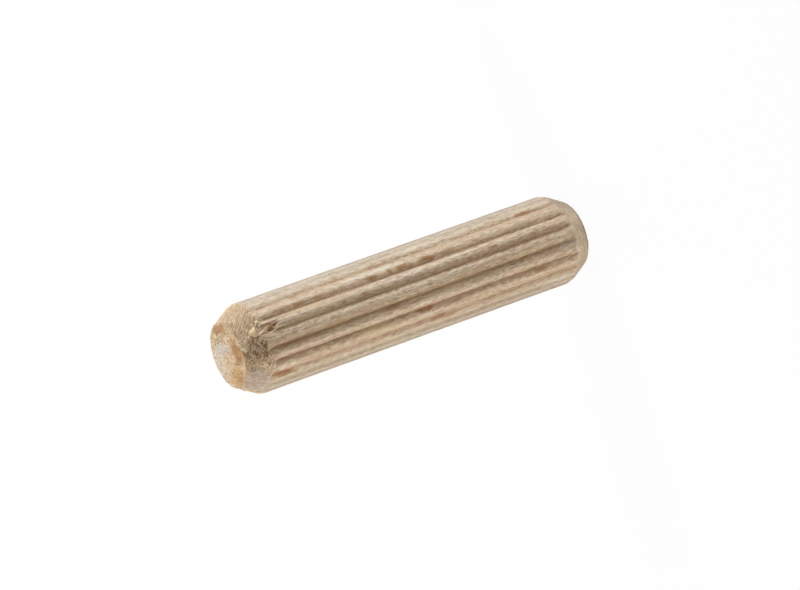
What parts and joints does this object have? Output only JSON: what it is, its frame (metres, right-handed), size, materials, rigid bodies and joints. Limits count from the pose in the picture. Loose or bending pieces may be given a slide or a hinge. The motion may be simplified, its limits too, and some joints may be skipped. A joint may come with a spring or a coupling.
{
  "type": "dowel pin",
  "caption": "Fluted wooden dowel pin with chamfered ends, glued into two matching holes to join and locate timber or board.",
  "frame": {"origin": "centre of the sawn end that the pin stands on", "axes": "+Z along the pin's axis, towards its other end; +X through the crown of a ridge"},
  "size_m": [0.008, 0.008, 0.035],
  "materials": {
    "beech": "bare machined wood, matt on the ridges and rough on the sawn ends"
  },
  "bodies": {
    "root": {"dowel_pin": "beech"}
  },
  "joints": []
}
